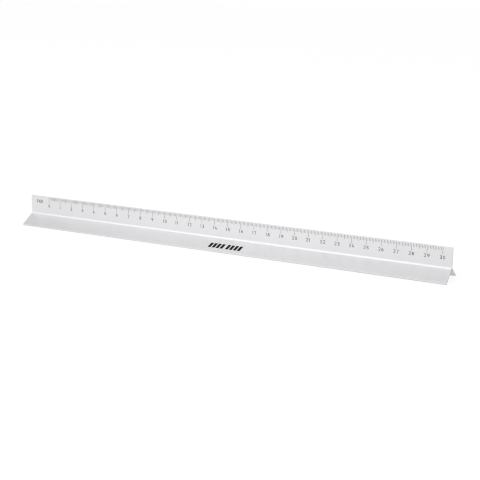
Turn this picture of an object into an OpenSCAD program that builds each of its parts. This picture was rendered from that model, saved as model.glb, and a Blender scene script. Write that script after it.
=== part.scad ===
// Three-fin scale ruler. One extruded aluminium bar has three equal fins at 120 degrees. Each fin
// carries one printed scale: its marks, its numerals and its ratio label. The blank face of the
// front fin carries a plain printed mark.
// X runs along the bar, Y points to the back and Z up. The origin is on the table under the middle
// of the bar. The bar rests on the tips of its two lower fins, and the third fin stands upright.

/* [Bar] */
// Overall length of the bar
bar_len = 322.5; // [120:0.5:330]
// Distance from the bar's axis to the tip of each fin
fin_reach = 13.8; // [13:0.1:20]
// Thickness of each fin
fin_t = 1.2; // [0.8:0.1:2]
// Radius of the fillet between neighbouring fins
fillet_r = 2.4; // [1:0.1:3]
// Depth of the narrow chamfer on both edges of each fin tip
tip_chamfer = 0.12; // [0.06:0.01:0.3]

/* [Marks] */
// Distance from the left end of the bar to the zero mark
zero_inset = 16.2; // [14:0.1:25]
// Least bare length between the last mark and the right end
end_margin = 6; // [3:0.5:15]
// Distance between neighbouring marks
mark_pitch = 1; // [1:1:2]
// Width of each mark
mark_w = 0.16; // [0.1:0.01:0.3]
// Length of a short mark
short_mark = 2.3; // [1.6:0.1:2.6]
// Length of a middle mark
middle_mark = 3.1; // [2.7:0.1:3.8]
// Length of a long mark
long_mark = 5; // [3.9:0.1:5.2]
// Thickness of the printed ink
ink_t = 0.03; // [0.02:0.01:0.05]

/* [Numerals] */
// Distance from the fin's tip to the top of the numerals
numeral_drop = 5.7; // [5.5:0.1:6.6]
// Height of a numeral
numeral_h = 2.3; // [2:0.1:3]
// Width of a numeral's digit, other than a 1, which is narrower
numeral_w = 1.45; // [1.2:0.05:1.8]
// Gap between the two digits of a number without a 1
numeral_gap = 0.65; // [0.4:0.05:1]
// Width of the drawn line of numerals and labels
stroke_w = 0.3; // [0.2:0.01:0.38]

/* [Ratio label] */
// Distance from the fin's tip to the top of the label
label_drop = 2.6; // [2.3:0.1:5]
// Height of the label
label_h = 2.5; // [2:0.1:3]
// Width of a digit of the label other than 1, which is narrower
label_w = 1.4; // [1.2:0.05:1.6]
// Gap between the label's characters
label_gap = 0.25; // [0.2:0.05:0.4]
// Distance from the label's right end to the zero mark
label_inset = 5.8; // [3:0.1:6]

/* [Printed mark] */
// Height of the slanted bars, across the fin
mark_bar_h = 4.4; // [2:0.1:5]
// Width of each slanted bar
mark_bar_w = 2.1; // [1:0.1:2.4]
// Distance between neighbouring bars of a group
mark_bar_pitch = 3; // [2.6:0.1:4]
// Bars in each of the two groups
mark_bars = 4; // [2:1:5]
// Extra gap between the two groups
mark_group_gap = 1.2; // [0.5:0.1:4]
// Slant of the bars in degrees
mark_slant = 14; // [0:1:25]
// Distance of the mark's middle from the middle of the bar
mark_x = 6.9; // [-20:0.1:20]
// Distance of the mark's middle from the bar's axis
mark_r = 8.3; // [7:0.1:9.5]

/* [Hidden] */

ALUMINIUM = [0.87, 0.88, 0.90];
SCALE_INK = [0.20, 0.20, 0.22];
MARK_INK = [0.05, 0.05, 0.05];

half_t = fin_t / 2;
fins = 3;
fin_angle = 360 / fins;

// The chamfers stand at 60 degrees to the fin, so that those of two neighbouring fins lie in one
// plane: the bar rests on them
chamfer_run = tip_chamfer * tan(60);
rest_angle = fin_angle / 2;
axis_h = fin_reach * cos(rest_angle) + (half_t - tip_chamfer) * sin(rest_angle);

// Fillet between two fins: its ends touch the fin faces at this distance from the bar's axis
fillet_start = (half_t + fillet_r) / tan(fin_angle / 2);
fillet_steps = 12;

zero_x = zero_inset - bar_len / 2;
// Whole numbered steps of 10 mm that fit between the zero mark and the bare right end
scale_len = floor((bar_len - zero_inset - end_margin) / 10) * 10;
// Marks start this far below the tip, clear of the chamfer
mark_start = chamfer_run + 2 * ink_t;

// Each scale: its ratio, the fin that carries it, and how many marks lie between two middle marks,
// two long marks and two numerals
SCALE_100 = [100, 0, 5, 10, 10];
SCALE_50 = [50, 2, 10, 20, 20];
SCALE_20 = [20, 1, 5, 25, 50];

// A 1 and a colon take this part of another character's width
narrow = 0.38;
// In a two-digit number, the stem of a 1 stands at this part of another digit's distance from the
// number's middle
one_pull = 0.67;
// Curved strokes turn by about this many degrees at each point
arc_step = 15;
// Sharp corners of a stroke reach out at most this many half-widths
mitre_limit = 1.4;
// The two bowls of a 3 and an 8 meet at this part of their height, and each reaches this part of
// the line's width into the other
waist = 0.53;
overlap = 0.35;

// ---- Bar -------------------------------------------------------------------------------------

function turned(p, a) = [p.x * cos(a) - p.y * sin(a), p.x * sin(a) + p.y * cos(a)];

// One third of the section: an upright fin, and the fillet on its left
function fin_outline() = concat(
    [
        [half_t, fillet_start],
        [half_t, fin_reach - chamfer_run],
        [half_t - tip_chamfer, fin_reach],
        [tip_chamfer - half_t, fin_reach],
        [-half_t, fin_reach - chamfer_run],
    ],
    [
        for (i = [0:fillet_steps - 1])
            let (a = -fin_angle / 2 * i / fillet_steps)
                [fillet_r * cos(a) - half_t - fillet_r, fillet_r * sin(a) + fillet_start],
    ]
);

module bar_section() {
    polygon([for (k = [0:fins - 1]) for (p = fin_outline()) turned(p, fin_angle * k)]);
}

module ruler_bar() {
    color(ALUMINIUM)
        translate([0, 0, axis_h])
            rotate([90, 0, 90])
                linear_extrude(bar_len, center = true)
                    bar_section();
}

// ---- Drawn strokes ---------------------------------------------------------------------------

function unit(v) = v / norm(v);
function left_of(v) = [-v.y, v.x];

// Points of an elliptical arc
function arc(c, rx, ry, a0, a1) =
    let (steps = ceil(abs(a1 - a0) / arc_step))
        [for (i = [0:steps]) let (a = a0 + (a1 - a0) * i / steps) [c.x + rx * cos(a), c.y + ry * sin(a)]];

// Step from point i of a path to the edge of a stroke of half-width 1 drawn along it
function mitre(path, i) =
    let (
        last = len(path) - 1,
        before = max(i, 1),
        after = min(i, last - 1),
        n0 = left_of(unit(path[before] - path[before - 1])),
        n1 = left_of(unit(path[after + 1] - path[after])),
        m = unit(n0 + n1)
    )
        m * min(1 / (m * n0), mitre_limit);

module stroke(path, s) {
    last = len(path) - 1;
    polygon(concat(
        [for (i = [0:last]) path[i] - mitre(path, i) * s / 2],
        [for (i = [last:-1:0]) path[i] + mitre(path, i) * s / 2]
    ));
}

// A closed oval stroke inside the box from corner lo to corner hi
module oval(lo, hi, s) {
    c = (lo + hi) / 2;
    rx = (hi.x - lo.x) / 2;
    ry = (hi.y - lo.y) / 2;
    steps = 360 / arc_step;
    difference() {
        polygon([for (i = [1:steps]) c + [rx * cos(i * arc_step), ry * sin(i * arc_step)]]);
        polygon([for (i = [1:steps]) c + [(rx - s) * cos(i * arc_step), (ry - s) * sin(i * arc_step)]]);
    }
}

// ---- Characters ------------------------------------------------------------------------------
// Each fills the box from [0, 0] to [w, h] with a line of width s

module digit_0(w, h, s) {
    oval([0, 0], [w, h], s);
}

module digit_1(w, h, s) {
    stem = w - s / 2;
    stroke([[stem, 0], [stem, h]], s);
    stroke([[0.3 * w, 0.78 * h], [stem, h - 0.6 * s]], s);
}

module digit_2(w, h, s) {
    rx = (w - s) / 2;
    ry = 0.26 * h;
    bowl = arc([w / 2, h - s / 2 - ry], rx, ry, 165, -40);
    stroke(concat(bowl, [[0.6 * s, s / 2], [w, s / 2]]), s);
}

module digit_3(w, h, s) {
    upper = (h - waist * h - s) / 2 + overlap * s;
    lower = (waist * h - s) / 2 + overlap * s;
    upper_y = h - s / 2 - upper;
    lower_y = s / 2 + lower;
    upper_bowl = arc([w / 2, upper_y], 0.92 * (w - s) / 2, upper, 150, -90);
    lower_bowl = arc([w / 2, lower_y], (w - s) / 2, lower, 90, -150);
    stroke(concat(upper_bowl, [[0.36 * w, upper_y - upper]]), s);
    stroke(concat([[0.4 * w, lower_y + lower]], lower_bowl), s);
}

module digit_4(w, h, s) {
    stroke([[0.5 * w, h], [0.6 * s, 0.3 * h], [w, 0.3 * h]], s);
    stroke([[0.7 * w, 0.56 * h], [0.7 * w, 0]], s);
}

module digit_5(w, h, s) {
    c = [0.47 * w, 0.32 * h];
    stroke([[0.94 * w, h - s / 2], [0.2 * w, h - s / 2], [0.15 * w, 0.44 * h]], s);
    stroke(arc(c, w - s / 2 - c.x, c.y - s / 2, 128, -150), s);
}

// The stem is a little thinner than the bowl's line, so that it starts inside it
module digit_6(w, h, s) {
    bowl_h = 0.6 * h;
    stem_s = 0.86 * s;
    oval([0, 0], [w, bowl_h], s);
    stroke(arc([0.86 * w, bowl_h / 2], 0.86 * w - s / 2, h - (bowl_h + s) / 2, 178, 100), stem_s);
}

module digit_7(w, h, s) {
    stroke([[0, h - s / 2], [w - 0.6 * s, h - s / 2], [0.34 * w, 0]], s);
}

module digit_8(w, h, s) {
    oval([0.05 * w, waist * h - overlap * s], [0.95 * w, h], s);
    oval([0, 0], [w, waist * h + overlap * s], s);
}

module digit_9(w, h, s) {
    translate([w, h]) rotate(180) digit_6(w, h, s);
}

module colon(w, h, s) {
    dot = 1.2 * s;
    for (y = [0.22 * h, 0.66 * h])
        translate([(w - dot) / 2, y]) square(dot);
}

module character(c, w, h, s) {
    if (c == "0") digit_0(w, h, s);
    if (c == "1") digit_1(w, h, s);
    if (c == "2") digit_2(w, h, s);
    if (c == "3") digit_3(w, h, s);
    if (c == "4") digit_4(w, h, s);
    if (c == "5") digit_5(w, h, s);
    if (c == "6") digit_6(w, h, s);
    if (c == "7") digit_7(w, h, s);
    if (c == "8") digit_8(w, h, s);
    if (c == "9") digit_9(w, h, s);
    if (c == ":") colon(w, h, s);
}

function char_width(c, w) = c == "1" || c == ":" ? narrow * w : w;

// What counts as the middle of a digit: its stem for a 1, the middle of its box for the others
function digit_middle(c, w, s) = c == "1" ? narrow * w - s / 2 : w / 2;

// Where character i of a line starts. The line's own width is the start of the one after its last,
// less a gap.
function char_start(chars, i, w, gap) =
    i == 0 ? 0 : char_start(chars, i - 1, w, gap) + char_width(chars[i - 1], w) + gap;
function line_width(chars, w, gap) = char_start(chars, len(chars), w, gap) - gap;

// A line of characters whose lower left corner is at the origin, raised by the ink's thickness
module printed_line(chars, w, h, gap, s) {
    for (i = [0:len(chars) - 1])
        translate([char_start(chars, i, w, gap), 0, 0])
            linear_extrude(ink_t)
                character(chars[i], char_width(chars[i], w), h, s);
}

// A digit of a number, whose place is its distance from the number's middle
module digit(c, place) {
    x = c == "1" ? one_pull * place : place;
    translate([x - digit_middle(c, numeral_w, stroke_w), 0, 0])
        linear_extrude(ink_t)
            character(c, char_width(c, numeral_w), numeral_h, stroke_w);
}

// ---- Scales ----------------------------------------------------------------------------------

// Turns children drawn for the upright fin onto another fin
module on_fin(k) {
    translate([0, 0, axis_h])
        rotate([fin_angle * k, 0, 0])
            children();
}

// Lays children, drawn in X and Y and raised in Z, on the scale face of a fin: their origin goes
// to the zero mark at the tip, and their Y points to the tip
module on_scale_face(k) {
    on_fin(k)
        translate([zero_x, -half_t, fin_reach])
            rotate([90, 0, 0])
                children();
}

function mark_length(scale, i) =
    i % scale[3] == 0 ? long_mark
    : i % scale[2] == 0 ? middle_mark
    : short_mark;

module graduations(scale) {
    numbered = scale[4] * mark_pitch;
    last = floor(scale_len / numbered) * scale[4];
    color(SCALE_INK)
        on_scale_face(scale[1])
            for (i = [0:last])
                translate([i * mark_pitch - mark_w / 2, -mark_length(scale, i), 0])
                    cube([mark_w, mark_length(scale, i) - mark_start, ink_t]);
}

module numerals(scale) {
    numbered = scale[4] * mark_pitch;
    digit_pitch = numeral_w + numeral_gap;
    color(SCALE_INK)
        on_scale_face(scale[1])
            for (i = [0:floor(scale_len / numbered)])
                let (chars = str(i), last = len(chars) - 1)
                    for (k = [0:last])
                        translate([i * numbered, -numeral_drop - numeral_h, 0])
                            digit(chars[k], (k - last / 2) * digit_pitch);
}

module ratio_label(scale) {
    chars = str("1:", scale[0]);
    wide = line_width(chars, label_w, label_gap);
    color(SCALE_INK)
        on_scale_face(scale[1])
            translate([-label_inset - wide, -label_drop - label_h, 0])
                printed_line(chars, label_w, label_h, label_gap, stroke_w);
}

module graduations_1to100() { graduations(SCALE_100); }
module numerals_1to100() { numerals(SCALE_100); }
module ratio_label_1to100() { ratio_label(SCALE_100); }
module graduations_1to50() { graduations(SCALE_50); }
module numerals_1to50() { numerals(SCALE_50); }
module ratio_label_1to50() { ratio_label(SCALE_50); }
module graduations_1to20() { graduations(SCALE_20); }
module numerals_1to20() { numerals(SCALE_20); }
module ratio_label_1to20() { ratio_label(SCALE_20); }

// ---- Printed mark ----------------------------------------------------------------------------

// Two groups of slanted bars, centred on the upper face of the front fin
module printed_mark() {
    lean = mark_bar_h * tan(mark_slant) / 2;
    half_w = mark_bar_w / 2;
    half_h = mark_bar_h / 2;
    run = (2 * mark_bars - 1) * mark_bar_pitch + mark_group_gap;
    color(MARK_INK)
        on_fin(1)
            translate([mark_x, half_t, mark_r])
                rotate([-90, 0, 0])
                    for (i = [0:2 * mark_bars - 1])
                        translate([i * mark_bar_pitch + (i < mark_bars ? 0 : mark_group_gap) - run / 2, 0, 0])
                            linear_extrude(ink_t)
                                polygon([
                                    [-half_w - lean, -half_h], [half_w - lean, -half_h],
                                    [half_w + lean, half_h], [lean - half_w, half_h],
                                ]);
}

ruler_bar();
graduations_1to100();
numerals_1to100();
ratio_label_1to100();
graduations_1to50();
numerals_1to50();
ratio_label_1to50();
graduations_1to20();
numerals_1to20();
ratio_label_1to20();
printed_mark();
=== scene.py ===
"""Looks of a three-fin aluminium scale ruler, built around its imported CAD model.

Units are metres in the CAD frame: X along the bar, Y to the back, Z up, the table at z = 0.
Azimuths and elevations are in degrees, from the front of the bar towards its right and up.
"""

import math

import bmesh
import bpy
from mathutils import Matrix, Vector


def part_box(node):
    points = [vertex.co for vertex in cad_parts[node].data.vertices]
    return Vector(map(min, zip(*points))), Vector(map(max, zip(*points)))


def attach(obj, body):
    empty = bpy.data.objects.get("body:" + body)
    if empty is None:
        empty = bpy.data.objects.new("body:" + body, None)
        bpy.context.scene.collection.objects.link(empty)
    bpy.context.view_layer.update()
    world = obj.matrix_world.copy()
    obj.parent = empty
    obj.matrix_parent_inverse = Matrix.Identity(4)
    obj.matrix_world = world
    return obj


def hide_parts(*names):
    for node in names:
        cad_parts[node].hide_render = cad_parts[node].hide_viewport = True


MM = 0.001

# ---- Measures of the bar ---------------------------------------------------------------------

# Section, as in the CAD model. Its reach follows from the frame's box.
FINS = 3
FIN_ANGLE = math.tau / FINS
HALF_T = 0.6 * MM
FILLET_R = 2.4 * MM
TIP_CHAMFER = 0.12 * MM

# Fine shape that the CAD model leaves out: softened long edges and deburred ends
FILLET_STEPS = 24
CORNER_R = 0.10 * MM
CORNER_STEPS = 4
END_ROUND = 0.07 * MM
END_STEPS = 4

# ---- Measures of the materials ---------------------------------------------------------------

# Most values of a noise texture lie in this range
NOISE_RANGE = (0.3, 0.7)

# Sizes of the metal's patterns, in features per metre, along X, Y and Z where there are three
DIE_LINES = (3.0, 2600.0, 2600.0)
DIE_BANDS = (1.5, 420.0, 420.0)
SAW_MARKS = (200.0, 300.0, 6000.0)
CLOUDS = 60.0
GRAIN = 9000.0

# Anodised faces. Tones are linear reflectances, and each pattern moves them up and down by its
# own share.
FACE_TONE = 0.88
FACE_TINT = (1.0, 1.0, 1.015)
LINES_IN_TONE = 0.012
BANDS_IN_TONE = 0.01
CLOUDS_IN_TONE = 0.01
FACE_ROUGH = 0.36
LINES_IN_ROUGH = 0.03
CLOUDS_IN_ROUGH = 0.02
ACROSS_LINES = 0.6
QUARTER_TURN = 0.25

# Fin tips, darker as painted shade of the shadowed floor that they reflect, and saw-cut ends,
# # whose middle is darker still as painted shade. A face is an end if the X of its normal is above
# # END_FACING.
TIP_SHADE_TONE = 0.79
LINES_IN_TIP = 0.02
TIP_DEPTH = 0.2 * MM
END_TONE = 0.6
SAW_IN_TONE = 0.05
# Painted shade on the ends: factors on the end tone at the hub and out on the fins
END_HUB_SHADE = 0.8
END_FINS_SHADE = 1.15
END_ROUGH = (0.42, 0.58)
END_FACING = 0.8

# Bump of the metal: its depth, and how much of it each pattern has
METAL_RELIEF = 0.004 * MM
METAL_BUMP = 0.25
LINES_IN_BUMP = 0.7
GRAIN_IN_BUMP = 0.3
SAW_IN_BUMP = 3.0

# Inks. The cover is the share by which a tone varies.
SCALE_INK_TONE = 0.035
SCALE_INK_COVER = 0.35
MARK_INK_TONE = 0.008
MARK_INK_COVER = 0.3
INK_TINT = (0.98, 0.98, 1.04)
INK_SPECKS = (0.0, 0.01)
INK_ROUGH = (0.5, 0.62)
INK_SPECULAR = 0.12
INK_PATCHES = 900.0
INK_SPECKLE = 12000.0
INK_RELIEF = 0.003 * MM
INK_BUMP = 0.2

# ---- Measures of the stage -------------------------------------------------------------------

CAMERA_AZIMUTH = 25.386
CAMERA_ELEVATION = 14.14
CAMERA_ROLL = 1.044
CAMERA_DISTANCE = 665.2 * MM
CAMERA_AIM = Vector((14.369, 0.0, 7.78)) * MM
CAMERA_CLIP = (0.01, 100.0)
LENS = 72.527
SENSOR = 36.0
PIXEL_FILTER = 1.2

# The camera sees a brighter floor and backdrop than the metal reflects
WHITE = (1.0, 1.0, 1.0, 1.0)
BACKDROP_LEVEL = 1.0
WORLD_LEVEL = 0.727
SWEEP_LEVEL = 1.06
SWEEP_SHARE = 0.72
FLOOR_ALBEDO = 0.8
FLOOR_ROUGH = 0.9
FLOOR_GLOW = 0.24
FLOOR_RADIUS = 20.0
FLOOR_SEGMENTS = 96

# The studio is dimmer to the left. These are the X of a direction where it is dimmest, and of
# one where that ends.
LEFT_LEVEL = 0.615
LEFT_FROM = -0.8
LEFT_TO = -0.3

# The floor glows more in a pool in front of the bar
POOL_GLOW = 0.35
POOL_CENTRE = (-0.01, -0.07, 0.0)
POOL_RADIUS = 0.26

# Long strip light in front of the bar and parallel to it: it lights up the fillet
STRIP_AIM = Vector((-1.5, 0.0, 0.0))
STRIP_AZIMUTH = 0.0
STRIP_ELEVATION = 45.0
STRIP_DISTANCE = 3.0
STRIP_SIZE = (2.8, 3.0)
STRIP_POWER = 16.2

# Soft light above and behind, to the left: the front fin's upper face reflects it, most in the
# middle of the bar
TOP_AIM = Vector((0.0, 0.0, 0.0))
TOP_AZIMUTH = -117.0
TOP_ELEVATION = 63.0
TOP_DISTANCE = 0.9
TOP_SIZE = (0.7, 0.4)
TOP_POWER = 0.08


# ---- Small helpers ---------------------------------------------------------------------------


def turned(point, angle):
    """A section point (y, z) turned about the bar's axis."""
    y, z = point
    return (y * math.cos(angle) - z * math.sin(angle), y * math.sin(angle) + z * math.cos(angle))


def rounded_corner(before, corner, after, radius, steps):
    """Points of an arc that replaces a corner between two straight edges."""
    a, p, b = Vector(before), Vector(corner), Vector(after)
    to_a = (a - p).normalized()
    to_b = (b - p).normalized()
    half = to_a.angle(to_b) / 2
    centre = p + (to_a + to_b).normalized() * radius / math.sin(half)
    start = p + to_a * radius / math.tan(half)
    end = p + to_b * radius / math.tan(half)
    u, v = start - centre, end - centre
    sweep = u.angle(v)
    points = []
    for i in range(steps + 1):
        t = i / steps
        mixed = u * math.sin((1 - t) * sweep) + v * math.sin(t * sweep)
        points.append(tuple(centre + mixed / math.sin(sweep)))
    return points


def inward_normals(outline):
    """For each point of a closed counter-clockwise outline, the step that moves both its edges in by 1."""
    steps = []
    for i, point in enumerate(outline):
        here = Vector(point)
        d0 = (here - Vector(outline[i - 1])).normalized()
        d1 = (Vector(outline[(i + 1) % len(outline)]) - here).normalized()
        n0 = Vector((-d0.y, d0.x))
        n1 = Vector((-d1.y, d1.x))
        m = (n0 + n1).normalized()
        steps.append(m / m.dot(n0))
    return steps


def direction(azimuth, elevation):
    """The unit vector that points from the bar to where these angles lie."""
    a, e = math.radians(azimuth), math.radians(elevation)
    return Vector((math.sin(a) * math.cos(e), -math.cos(a) * math.cos(e), math.sin(e)))


def add_object(name, data):
    """A new object in the scene, around a mesh, a light or a camera."""
    obj = bpy.data.objects.new(name, data)
    bpy.context.scene.collection.objects.link(obj)
    return obj


def add_mesh(name, bm):
    """A new mesh object in the scene, from a bmesh that isn't needed after it."""
    mesh = bpy.data.meshes.new(name)
    bm.to_mesh(mesh)
    bm.free()
    return add_object(name, mesh)


def paint(obj, material):
    obj.data.materials.clear()
    obj.data.materials.append(material)


# ---- The bar ---------------------------------------------------------------------------------


def bar_outline(reach):
    """The bar's section about its axis, as (y, z) points, counter-clockwise."""
    chamfer_run = TIP_CHAMFER * math.tan(FIN_ANGLE / 2)
    fillet_start = (HALF_T + FILLET_R) / math.tan(FIN_ANGLE / 2)
    corners = [
        (HALF_T, fillet_start),
        (HALF_T, reach - chamfer_run),
        (HALF_T - TIP_CHAMFER, reach),
        (TIP_CHAMFER - HALF_T, reach),
        (-HALF_T, reach - chamfer_run),
        (-HALF_T, fillet_start),
    ]
    fin = []
    for i in range(1, len(corners) - 1):
        fin += rounded_corner(corners[i - 1], corners[i], corners[i + 1], CORNER_R, CORNER_STEPS)
    for i in range(FILLET_STEPS + 1):
        a = -FIN_ANGLE / 2 * i / FILLET_STEPS
        fin.append((FILLET_R * (math.cos(a) - 1) - HALF_T, FILLET_R * math.sin(a) + fillet_start))
    return [turned(point, FIN_ANGLE * k) for k in range(FINS) for point in fin]


def axis_and_reach(low, high):
    """Height of the bar's axis and distance from it to the fin tips, from the bar's box."""
    rest_drop = (HALF_T - TIP_CHAMFER) * math.sin(FIN_ANGLE / 2)
    reach = (high.z - low.z - rest_drop) / (1 + math.cos(FIN_ANGLE / 2))
    return low.z + reach * math.cos(FIN_ANGLE / 2) + rest_drop, reach


def build_bar(low, high):
    """The extruded bar with softened long edges and deburred ends."""
    axis_z, reach = axis_and_reach(low, high)
    outline = bar_outline(reach)
    inward = inward_normals(outline)

    # Rings from one end to the other: a quarter round at each end, straight between
    quarter = [math.pi / 2 * i / END_STEPS for i in range(END_STEPS, -1, -1)]
    stations = [(low.x + END_ROUND * (1 - math.sin(a)), END_ROUND * (1 - math.cos(a))) for a in quarter]
    stations += [(low.x + high.x - x, depth) for x, depth in stations[::-1]]

    bm = bmesh.new()
    rings = []
    for x, depth in stations:
        ring = []
        for (y, z), step in zip(outline, inward):
            ring.append(bm.verts.new((x, y + step.x * depth, axis_z + z + step.y * depth)))
        rings.append(ring)
    count = len(outline)
    for ring, following in zip(rings, rings[1:]):
        for i in range(count):
            j = (i + 1) % count
            bm.faces.new((ring[i], ring[j], following[j], following[i]))
    for ring, x in ((rings[0], stations[0][0]), (rings[-1], stations[-1][0])):
        middle = bm.verts.new((x, 0, axis_z))
        for i in range(count):
            bm.faces.new((middle, ring[i], ring[(i + 1) % count]))
    bmesh.ops.recalc_face_normals(bm, faces=bm.faces)
    for face in bm.faces:
        face.smooth = True
    bar = add_mesh("extruded_bar", bm)
    weighted = bar.modifiers.new("flat_faces_stay_flat", "WEIGHTED_NORMAL")
    weighted.weight = 100
    return bar


# ---- Materials -------------------------------------------------------------------------------


class Nodes:
    """A short way to write the nodes of a material or a world."""

    def __init__(self, owner, main):
        owner.use_nodes = True
        self.tree = owner.node_tree
        self.main = self.tree.nodes[main]

    def add(self, kind, inputs=None, **settings):
        node = self.tree.nodes.new(kind)
        for key, value in settings.items():
            setattr(node, key, value)
        for key, value in (inputs or {}).items():
            self.put(node, key, value)
        return node

    def put(self, node, key, value):
        if isinstance(value, bpy.types.NodeSocket):
            self.tree.links.new(value, node.inputs[key])
        else:
            node.inputs[key].default_value = value

    def coordinates(self, kind):
        return self.add("ShaderNodeTexCoord").outputs[kind]

    def axis(self, vector, name):
        return self.add("ShaderNodeSeparateXYZ", {"Vector": vector}).outputs[name]

    def seen_by_camera(self):
        return self.add("ShaderNodeLightPath").outputs["Is Camera Ray"]

    def math(self, operation, a, b=0.0):
        return self.add("ShaderNodeMath", {0: a, 1: b}, operation=operation).outputs[0]

    def vector(self, operation, a, b):
        return self.add("ShaderNodeVectorMath", {0: a, 1: b}, operation=operation).outputs[0]

    def distance(self, a, b):
        return self.add("ShaderNodeVectorMath", {0: a, 1: b}, operation="DISTANCE").outputs["Value"]

    def scaled(self, vector, scale):
        return self.add("ShaderNodeMapping", {"Vector": vector, "Scale": scale}).outputs["Vector"]

    def noise(self, vector, scale=1.0, detail=2.0, rough=0.5):
        inputs = {"Vector": vector, "Scale": scale, "Detail": detail, "Roughness": rough}
        return self.add("ShaderNodeTexNoise", inputs).outputs["Fac"]

    def ramp(self, value, start, end, first, last, kind="LINEAR"):
        """Goes from first to last while the value goes from start to end."""
        inputs = {"Value": value, "From Min": start, "From Max": end, "To Min": first, "To Max": last}
        return self.add("ShaderNodeMapRange", inputs, interpolation_type=kind).outputs["Result"]

    def fade(self, value, start, end, first, last):
        """A ramp that starts and ends softly."""
        return self.ramp(value, start, end, first, last, "SMOOTHSTEP")

    def spread(self, noise, low, high):
        """Takes a noise value to the range low to high."""
        return self.ramp(noise, *NOISE_RANGE, low, high)

    def around(self, noise, middle, by):
        """Takes a noise value to the range of middle less by to middle plus by."""
        return self.spread(noise, middle - by, middle + by)

    def mix(self, factor, a, b):
        node = self.add("ShaderNodeMix", data_type="RGBA")
        self.put(node, 0, factor)
        self.put(node, 6, a)
        self.put(node, 7, b)
        return node.outputs[2]

    def mix_value(self, factor, a, b):
        return self.add("ShaderNodeMix", {0: factor, 2: a, 3: b}, data_type="FLOAT").outputs[0]

    def mix_surface(self, factor, a, b):
        return self.add("ShaderNodeMixShader", {0: factor, 1: a, 2: b}).outputs[0]

    def grey(self, value):
        node = self.add("ShaderNodeCombineColor", {"Red": value, "Green": value, "Blue": value})
        return node.outputs["Color"]

    def bump(self, height, strength, distance):
        inputs = {"Height": height, "Strength": strength, "Distance": distance}
        return self.add("ShaderNodeBump", inputs).outputs["Normal"]


def new_material(name):
    """A material, and its nodes around the principled surface."""
    material = bpy.data.materials.new(name)
    return material, Nodes(material, "Principled BSDF")


def anodised_aluminium(axis_z, reach):
    """Clear satin anodising over extrusion lines, with painted shade on the fin tips and darker saw-cut
    ends, shaded most in the middle.
    """
    material, s = new_material("anodised_aluminium")
    place = s.coordinates("Object")
    lines = s.noise(s.scaled(place, DIE_LINES), detail=4.0, rough=0.6)
    bands = s.noise(s.scaled(place, DIE_BANDS))
    saw = s.noise(s.scaled(place, SAW_MARKS), detail=3.0)
    cloud = s.noise(place, CLOUDS, detail=3.0)
    grain = s.noise(place, GRAIN)

    normal = s.add("ShaderNodeNewGeometry").outputs["True Normal"]
    is_end = s.math("GREATER_THAN", s.math("ABSOLUTE", s.axis(normal, "X")), END_FACING)
    radius = s.distance(s.vector("MULTIPLY", place, (0.0, 1.0, 1.0)), (0.0, 0.0, axis_z))
    is_tip = s.math("GREATER_THAN", radius, reach - TIP_DEPTH)

    # Faces are streaked by the die, and clouded a little by the anodising
    streaks = s.math("ADD", s.around(lines, 0.0, LINES_IN_TONE), s.around(bands, 0.0, BANDS_IN_TONE))
    face_tone = s.math("ADD", streaks, s.around(cloud, FACE_TONE, CLOUDS_IN_TONE))
    face_colour = s.vector("MULTIPLY", s.grey(face_tone), FACE_TINT)
    # Painted shade: the tips are darker, standing in for the shadowed floor under them that they reflect
    tip_shade_colour = s.grey(s.around(lines, TIP_SHADE_TONE, LINES_IN_TIP))
    side_colour = s.mix(is_tip, face_colour, tip_shade_colour)
    # Painted shade: the saw cut is darker in the thick middle and brighter out along the thin fins
    hub_painted_shade = s.fade(radius, FILLET_R, reach / 2, END_HUB_SHADE, END_FINS_SHADE)
    end_colour = s.grey(s.math("MULTIPLY", s.around(saw, END_TONE, SAW_IN_TONE), hub_painted_shade))
    s.put(s.main, "Base Color", s.mix(is_end, side_colour, end_colour))
    s.put(s.main, "Metallic", 1.0)

    # Die lines run along the bar, so light spreads across them
    s.put(s.main, "Anisotropic", ACROSS_LINES)
    s.put(s.main, "Anisotropic Rotation", QUARTER_TURN)
    s.put(s.main, "Tangent", s.add("ShaderNodeCombineXYZ", {"X": 1.0}).outputs[0])
    rough_lines = s.around(lines, 0.0, LINES_IN_ROUGH)
    side_rough = s.math("ADD", rough_lines, s.around(cloud, FACE_ROUGH, CLOUDS_IN_ROUGH))
    s.put(s.main, "Roughness", s.mix_value(is_end, side_rough, s.spread(saw, *END_ROUGH)))

    line_height = s.math("MULTIPLY", lines, LINES_IN_BUMP)
    side_height = s.math("ADD", line_height, s.math("MULTIPLY", grain, GRAIN_IN_BUMP))
    height = s.mix_value(is_end, side_height, s.math("MULTIPLY", saw, SAW_IN_BUMP))
    s.put(s.main, "Normal", s.bump(height, METAL_BUMP, METAL_RELIEF))
    return material


def printed_ink(name, tone, cover):
    """Matt printing ink whose cover varies a little, so that thin lines aren't perfectly even."""
    material, s = new_material(name)
    place = s.coordinates("Object")
    patches = s.noise(place, INK_PATCHES, detail=3.0)
    speckle = s.noise(place, INK_SPECKLE)
    shade = s.math("ADD", s.around(patches, tone, tone * cover), s.spread(speckle, *INK_SPECKS))
    s.put(s.main, "Base Color", s.vector("MULTIPLY", s.grey(shade), INK_TINT))
    s.put(s.main, "Roughness", s.spread(patches, *INK_ROUGH))
    s.put(s.main, "Specular IOR Level", INK_SPECULAR)
    s.put(s.main, "Normal", s.bump(speckle, INK_BUMP, INK_RELIEF))
    return material


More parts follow.
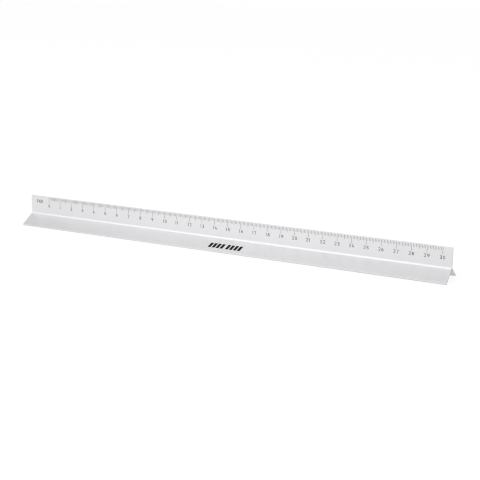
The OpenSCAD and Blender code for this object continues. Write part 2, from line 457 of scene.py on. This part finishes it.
def floor_white():
    """White paper, seen as an even backlit sweep. It is see-through from below, so that the
    underside can be looked at."""
    material, s = new_material("white_floor")
    s.put(s.main, "Base Color", (FLOOR_ALBEDO, FLOOR_ALBEDO, FLOOR_ALBEDO, 1.0))
    s.put(s.main, "Roughness", FLOOR_ROUGH)
    s.put(s.main, "Specular IOR Level", 0.0)
    s.put(s.main, "Emission Color", WHITE)
    away = s.distance(s.coordinates("Object"), POOL_CENTRE)
    s.put(s.main, "Emission Strength", s.fade(away, 0.0, POOL_RADIUS, POOL_GLOW, FLOOR_GLOW))
    share = s.math("MULTIPLY", s.seen_by_camera(), SWEEP_SHARE)
    sweep = s.add("ShaderNodeEmission", {"Strength": SWEEP_LEVEL}).outputs[0]
    above = s.mix_surface(share, s.main.outputs[0], sweep)
    below = s.add("ShaderNodeNewGeometry").outputs["Backfacing"]
    clear = s.add("ShaderNodeBsdfTransparent").outputs[0]
    s.put(s.tree.nodes["Material Output"], "Surface", s.mix_surface(below, above, clear))
    return material


# ---- Stage -----------------------------------------------------------------------------------


def add_floor():
    bm = bmesh.new()
    bmesh.ops.create_circle(bm, cap_ends=True, segments=FLOOR_SEGMENTS, radius=FLOOR_RADIUS)
    floor = add_mesh("studio_floor", bm)
    paint(floor, floor_white())


def add_world():
    world = bpy.data.worlds.new("studio_air")
    bpy.context.scene.world = world
    s = Nodes(world, "Background")
    along = s.axis(s.coordinates("Generated"), "X")
    reflected = s.fade(along, LEFT_FROM, LEFT_TO, LEFT_LEVEL, WORLD_LEVEL)
    s.put(s.main, "Strength", s.mix_value(s.seen_by_camera(), reflected, BACKDROP_LEVEL))
    s.put(s.main, "Color", WHITE)


def add_softbox(name, aim, azimuth, elevation, distance, size, power):
    """A rectangular area light that faces the aim."""
    back = direction(azimuth, elevation)
    light = bpy.data.lights.new(name, "AREA")
    light.shape = "RECTANGLE"
    light.size, light.size_y = size
    light.energy = power
    holder = add_object(name, light)
    holder.location = aim + back * distance
    holder.rotation_euler = back.to_track_quat("Z", "Y").to_euler()


def add_camera():
    back = direction(CAMERA_AZIMUTH, CAMERA_ELEVATION)
    level = (-back).cross(Vector((0, 0, 1))).normalized()
    upright = level.cross(-back)
    roll = math.radians(CAMERA_ROLL)
    right = level * math.cos(roll) + upright * math.sin(roll)
    up = upright * math.cos(roll) - level * math.sin(roll)
    camera = bpy.data.cameras.new("camera")
    camera.lens = LENS
    camera.sensor_width = SENSOR
    camera.clip_start, camera.clip_end = CAMERA_CLIP
    holder = add_object("camera", camera)
    turn = Matrix((right, up, back)).transposed().to_4x4()
    holder.matrix_world = Matrix.Translation(CAMERA_AIM + back * CAMERA_DISTANCE) @ turn
    bpy.context.scene.camera = holder


# ---- Build -----------------------------------------------------------------------------------

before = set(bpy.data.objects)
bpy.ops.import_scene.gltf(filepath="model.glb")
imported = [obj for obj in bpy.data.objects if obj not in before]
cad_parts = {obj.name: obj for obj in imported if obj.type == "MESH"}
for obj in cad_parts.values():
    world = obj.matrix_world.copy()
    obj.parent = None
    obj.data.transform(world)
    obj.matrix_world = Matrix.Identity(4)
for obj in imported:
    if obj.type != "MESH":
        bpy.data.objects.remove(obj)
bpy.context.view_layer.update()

bar_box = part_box("ruler_bar")
bar = build_bar(*bar_box)
paint(bar, anodised_aluminium(*axis_and_reach(*bar_box)))
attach(bar, "root")
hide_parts("ruler_bar")

scale_ink = printed_ink("scale_ink", SCALE_INK_TONE, SCALE_INK_COVER)
mark_ink = printed_ink("mark_ink", MARK_INK_TONE, MARK_INK_COVER)
for name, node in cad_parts.items():
    if name == "printed_mark":
        paint(node, mark_ink)
    elif name != "ruler_bar":
        paint(node, scale_ink)

add_floor()
add_world()
add_softbox(
    "front_strip", STRIP_AIM, STRIP_AZIMUTH, STRIP_ELEVATION, STRIP_DISTANCE, STRIP_SIZE, STRIP_POWER
)
add_softbox("top_softbox", TOP_AIM, TOP_AZIMUTH, TOP_ELEVATION, TOP_DISTANCE, TOP_SIZE, TOP_POWER)
add_camera()
bpy.context.scene.view_settings.view_transform = "Standard"
bpy.context.scene.cycles.filter_width = PIXEL_FILTER
